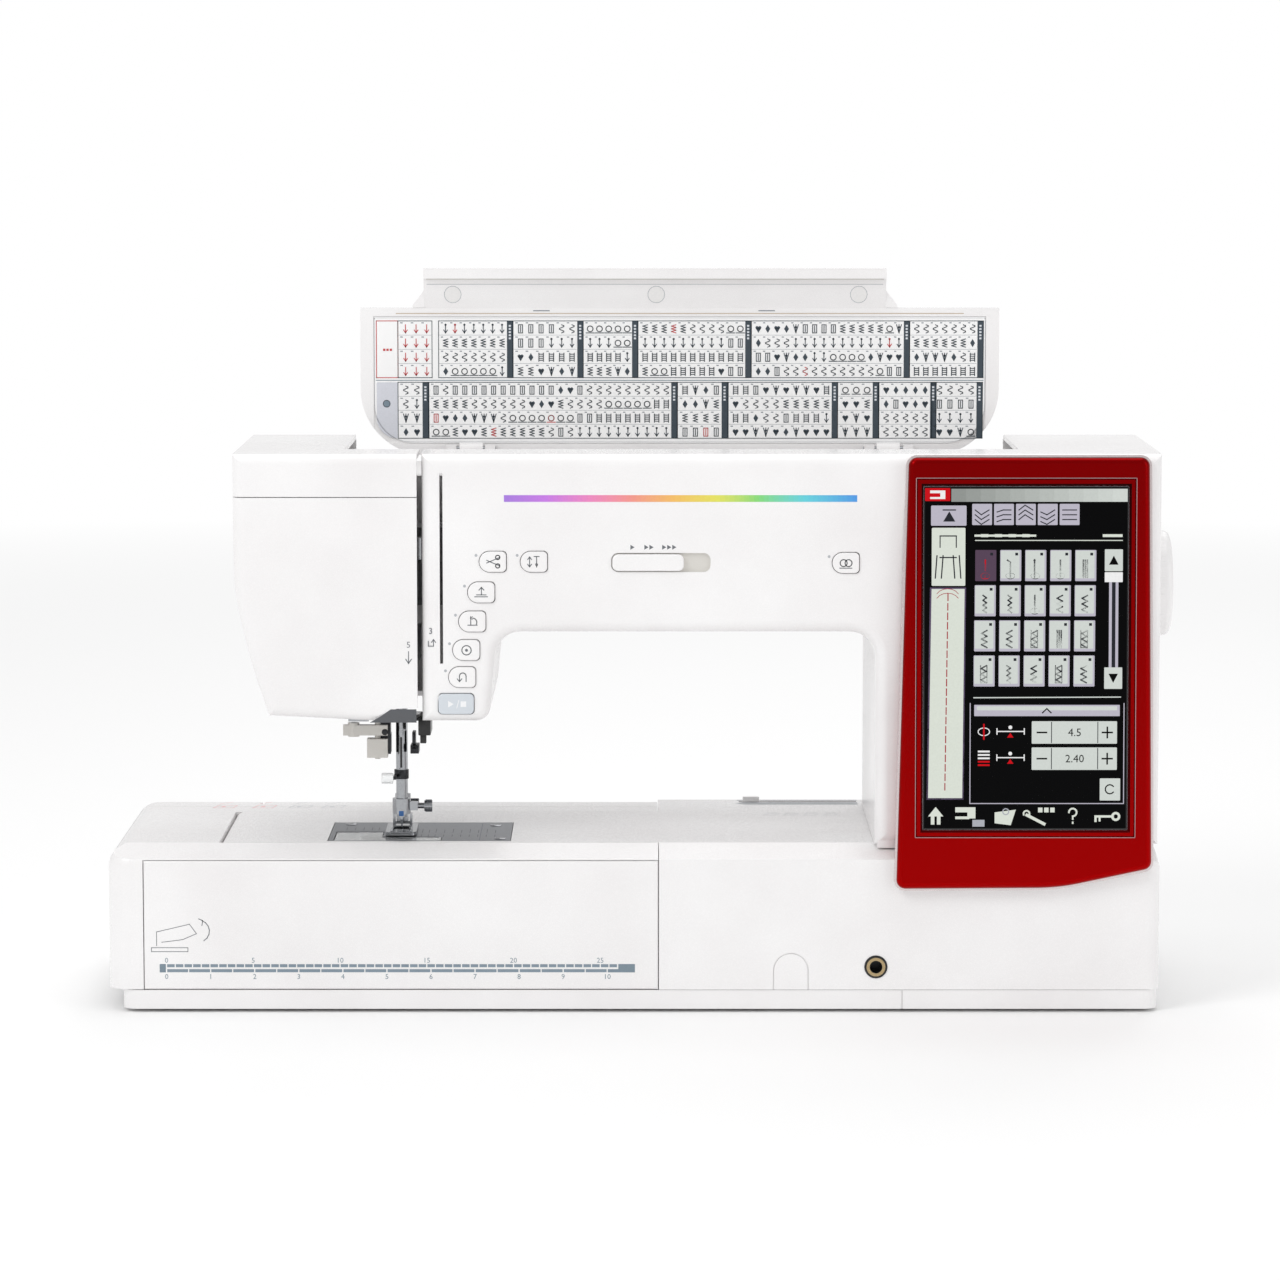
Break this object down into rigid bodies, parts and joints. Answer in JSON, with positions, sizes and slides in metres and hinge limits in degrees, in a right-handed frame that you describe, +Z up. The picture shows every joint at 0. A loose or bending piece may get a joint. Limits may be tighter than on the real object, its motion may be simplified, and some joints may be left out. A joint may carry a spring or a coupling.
{
  "type": "sewing machine",
  "caption": "Electronic sewing machine with an open lid that holds a stitch chart, a tall touch screen in a red frame, a free arm and a slide-on extension table.",
  "frame": {"origin": "centre of the footprint, on the surface the rubber feet stand on", "axes": "+X right along the arm towards the handwheel, +Y to the back, +Z up"},
  "size_m": [0.6186, 0.2093, 0.422],
  "materials": {
    "white_abs": "gloss",
    "grey_blue_abs": "satin",
    "rubber_grey": "matt",
    "black_plastic": "satin",
    "printed_sheet": "satin",
    "bright_steel": "polished",
    "plate_steel": "satin",
    "clear_plastic": "clear",
    "dark_plastic": "matt",
    "red_metallic": "metallic lacquer",
    "display_glass": "gloss",
    "cast_alloy": "as cast",
    "belt_rubber": "matt",
    "steel_case": "zinc plated"
  },
  "bodies": {
    "machine": {"arm_lamp": "clear_plastic", "base_pan": "white_abs", "bed_cover": "white_abs", "bobbin_holder": "dark_plastic", "case_screws": "bright_steel", "control_board": "black_plastic", "front_cover": "white_abs", "head_cap": "white_abs", "knee_lifter_socket": "black_plastic", "lid_hinge_pins": "bright_steel", "main_casting": "cast_alloy", "motor": "black_plastic", "needle_plate": "plate_steel", "power_inlet": "black_plastic", "power_unit": "steel_case", "rear_cover": "white_abs", "rubber_feet": "rubber_grey", "screen_bezel": "red_metallic", "screen_glass": "display_glass", "spool_pin": "white_abs", "tension_unit": "plate_steel", "thread_guides": "bright_steel", "timing_belt": "belt_rubber", "top_deck": "white_abs", "winder_stop": "black_plastic"},
    "lid_body": {"lid": "white_abs", "stitch_chart": "printed_sheet"},
    "face_door": {"face_cover": "white_abs"},
    "table": {"table_frame": "white_abs"},
    "table_front": {"table_door": "white_abs"},
    "drive": {"handwheel": "white_abs", "upper_shaft": "plate_steel"},
    "low_drive": {"lower_shaft": "plate_steel"},
    "motor_drive": {"motor_pulley": "black_plastic"},
    "hook": {"rotary_hook": "plate_steel"},
    "bobbin_body": {"bobbin": "clear_plastic"},
    "bobbin_lid": {"bobbin_cover": "clear_plastic"},
    "feed": {"feed_dogs": "plate_steel"},
    "feed_lever": {"feed_slider": "white_abs"},
    "needle_slide": {"needle_bar": "bright_steel", "needle_clamp": "bright_steel", "clamp_screw": "bright_steel", "needle": "bright_steel"},
    "presser": {"presser_bar": "bright_steel", "foot_ankle": "bright_steel"},
    "foot": {"presser_foot": "bright_steel"},
    "presser_arm": {"presser_lever": "white_abs"},
    "threader": {"needle_threader": "bright_steel"},
    "take_up": {"take_up_lever": "bright_steel"},
    "speed": {"speed_knob": "white_abs"},
    "winder": {"winder_spindle": "black_plastic"},
    "switch": {"power_switch": "black_plastic"},
    "key_cutter": {"button_cutter": "white_abs"},
    "key_needle": {"button_needle": "white_abs"},
    "key_lift": {"button_lift": "white_abs"},
    "key_pivot": {"button_pivot": "white_abs"},
    "key_lock": {"button_lock": "white_abs"},
    "key_reverse": {"button_reverse": "white_abs"},
    "key_start_stop": {"button_start_stop": "grey_blue_abs"},
    "key_tie": {"button_tie": "white_abs"}
  },
  "joints": [
    {"name": "lid_hinge", "type": "hinge", "parent": "machine", "child": "lid_body", "pos_m": [0, 0.079, 0.313], "axis": [1, 0, 0], "range_deg": [0, 90]},
    {"name": "face_door_hinge", "type": "hinge", "parent": "machine", "child": "face_door", "pos_m": [-0.2365, -0.0055, 0.23], "axis": [0, 0, 1], "range_deg": [-100, 0]},
    {"name": "table_slide", "type": "slide", "parent": "machine", "child": "table", "axis": [-1, 0, 0], "range_m": [0, 0.27]},
    {"name": "table_door_hinge", "type": "hinge", "parent": "table", "child": "table_front", "pos_m": [-0.14, -0.0937, 0.0147], "axis": [1, 0, 0], "range_deg": [0, 80]},
    {"name": "handwheel_turn", "type": "hinge", "parent": "machine", "child": "drive", "pos_m": [0.3, -0.005, 0.248], "axis": [1, 0, 0], "continuous": true},
    {"name": "low_shaft_turn", "type": "hinge", "parent": "machine", "child": "low_drive", "pos_m": [0.2, -0.005, 0.062], "axis": [1, 0, 0], "continuous": true},
    {"name": "motor_turn", "type": "hinge", "parent": "machine", "child": "motor_drive", "pos_m": [0.26, 0.005, 0.14], "axis": [1, 0, 0], "continuous": true},
    {"name": "hook_turn", "type": "hinge", "parent": "machine", "child": "hook", "pos_m": [-0.15, -0.0455, 0.08], "axis": [0, 0, 1], "continuous": true},
    {"name": "bobbin_turn", "type": "hinge", "parent": "machine", "child": "bobbin_body", "pos_m": [-0.15, -0.0455, 0.08], "axis": [0, 0, 1], "continuous": true},
    {"name": "bobbin_cover_lift", "type": "slide", "parent": "machine", "child": "bobbin_lid", "axis": [0, 0, 1], "range_m": [0, 0.02]},
    {"name": "feed_lever_slide", "type": "slide", "parent": "machine", "child": "feed_lever", "axis": [1, 0, 0], "range_m": [0, 0.055]},
    {"name": "feed_drop", "type": "slide", "parent": "machine", "child": "feed", "axis": [0, 0, -1], "range_m": [0, 0.0025]},
    {"name": "needle_bar_slide", "type": "slide", "parent": "machine", "child": "needle_slide", "axis": [0, 0, 1], "range_m": [0, 0.03]},
    {"name": "take_up_swing", "type": "hinge", "parent": "machine", "child": "take_up", "pos_m": [-0.13, -0.02, 0.262], "axis": [1, 0, 0], "range_deg": [-38, 0]},
    {"name": "presser_lever_swing", "type": "hinge", "parent": "machine", "child": "presser_arm", "pos_m": [-0.118, 0.0265, 0.178], "axis": [0, 1, 0], "range_deg": [-70, 0]},
    {"name": "presser_slide", "type": "slide", "parent": "machine", "child": "presser", "axis": [0, 0, 1], "range_m": [0, 0.007]},
    {"name": "foot_tilt", "type": "hinge", "parent": "presser", "child": "foot", "pos_m": [-0.1425, -0.0165, 0.0991], "axis": [1, 0, 0], "range_deg": [-4, 1], "stiffness_Nm_per_rad": 0.02},
    {"name": "threader_slide", "type": "slide", "parent": "machine", "child": "threader", "axis": [0, 0, -1], "range_m": [0, 0.02], "stiffness_N_per_m": 40, "springref_m": -0.01},
    {"name": "speed_slide", "type": "slide", "parent": "machine", "child": "speed", "axis": [1, 0, 0], "range_m": [0, 0.0148]},
    {"name": "winder_turn", "type": "hinge", "parent": "machine", "child": "winder", "pos_m": [0.186, 0.02, 0.3], "axis": [0, 0, 1], "continuous": true},
    {"name": "switch_rock", "type": "hinge", "parent": "machine", "child": "switch", "pos_m": [0.2935, 0.044, 0.16], "axis": [0, 1, 0], "range_deg": [-5, 5]},
    {"name": "press_cutter", "type": "slide", "parent": "machine", "child": "key_cutter", "axis": [0, 1, 0], "range_m": [0, 0.0012], "stiffness_N_per_m": 600, "springref_m": -0.0005},
    {"name": "press_needle", "type": "slide", "parent": "machine", "child": "key_needle", "axis": [0, 1, 0], "range_m": [0, 0.0012], "stiffness_N_per_m": 600, "springref_m": -0.0005},
    {"name": "press_lift", "type": "slide", "parent": "machine", "child": "key_lift", "axis": [0, 1, 0], "range_m": [0, 0.0012], "stiffness_N_per_m": 600, "springref_m": -0.0005},
    {"name": "press_pivot", "type": "slide", "parent": "machine", "child": "key_pivot", "axis": [0, 1, 0], "range_m": [0, 0.0012], "stiffness_N_per_m": 600, "springref_m": -0.0005},
    {"name": "press_lock", "type": "slide", "parent": "machine", "child": "key_lock", "axis": [0, 1, 0], "range_m": [0, 0.0012], "stiffness_N_per_m": 600, "springref_m": -0.0005},
    {"name": "press_reverse", "type": "slide", "parent": "machine", "child": "key_reverse", "axis": [0, 1, 0], "range_m": [0, 0.0012], "stiffness_N_per_m": 600, "springref_m": -0.0005},
    {"name": "press_start_stop", "type": "slide", "parent": "machine", "child": "key_start_stop", "axis": [0, 1, 0], "range_m": [0, 0.0012], "stiffness_N_per_m": 600, "springref_m": -0.0005},
    {"name": "press_tie", "type": "slide", "parent": "machine", "child": "key_tie", "axis": [0, 1, 0], "range_m": [0, 0.0012], "stiffness_N_per_m": 600, "springref_m": -0.0005}
  ],
  "couplings": [
    {"joint": "low_shaft_turn", "follows": "handwheel_turn", "ratio": 1},
    {"joint": "motor_turn", "follows": "handwheel_turn", "ratio": 6},
    {"joint": "hook_turn", "follows": "handwheel_turn", "ratio": 2},
    {"joint": "take_up_swing", "follows": "needle_bar_slide", "rad_per_m": -20},
    {"joint": "presser_lever_swing", "follows": "presser_slide", "rad_per_m": -174},
    {"joint": "feed_drop", "follows": "feed_lever_slide", "ratio": 0.04}
  ]
}
